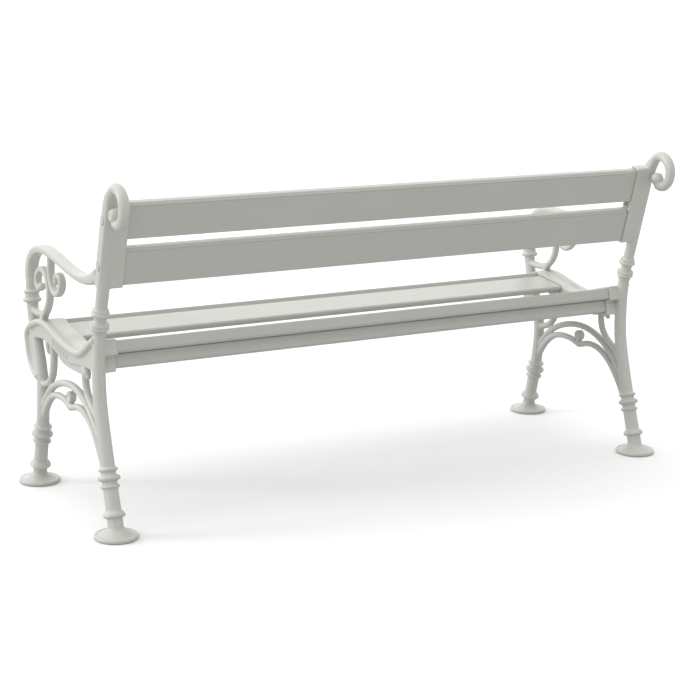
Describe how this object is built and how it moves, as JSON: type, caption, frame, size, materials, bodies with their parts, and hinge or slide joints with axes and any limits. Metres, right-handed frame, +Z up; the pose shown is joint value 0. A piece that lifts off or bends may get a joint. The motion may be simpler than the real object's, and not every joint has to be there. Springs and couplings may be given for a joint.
{
  "type": "garden bench",
  "caption": "Garden bench with scrolled cast-look end frames, curved arms, wide back slats and a dished slatted seat.",
  "frame": {"origin": "on the ground under the middle of the bench's bounding box", "axes": "+X along the bench towards the sitter's left, +Y towards the back, +Z up"},
  "size_m": [1.5598, 0.6113, 0.7917],
  "materials": {
    "frame_plastic": "satin moulded resin",
    "slat_plastic": "satin extruded resin",
    "core_metal": "mill finish",
    "plug_plastic": "matte",
    "screw_steel": "zinc plated",
    "cap_plastic": "satin"
  },
  "bodies": {
    "root": {"end_frame_left": "frame_plastic", "end_frame_right": "frame_plastic", "back_slat_upper": "slat_plastic", "back_slat_lower": "slat_plastic", "seat_slat_front": "slat_plastic", "seat_slat_middle": "slat_plastic", "seat_slat_lowest": "slat_plastic", "seat_slat_rear": "slat_plastic", "seat_beam_rear": "slat_plastic", "back_slat_upper_core": "core_metal", "back_slat_lower_core": "core_metal", "seat_slat_front_core": "core_metal", "seat_slat_middle_core": "core_metal", "seat_slat_lowest_core": "core_metal", "seat_slat_rear_core": "core_metal", "seat_beam_rear_core": "core_metal", "slat_end_plugs_left": "plug_plastic", "slat_end_plugs_right": "plug_plastic", "back_slat_screws_left": "screw_steel", "back_slat_screws_right": "screw_steel", "seat_slat_screws_left": "screw_steel", "seat_slat_screws_right": "screw_steel", "screw_caps_left": "cap_plastic", "screw_caps_right": "cap_plastic"}
  },
  "joints": []
}
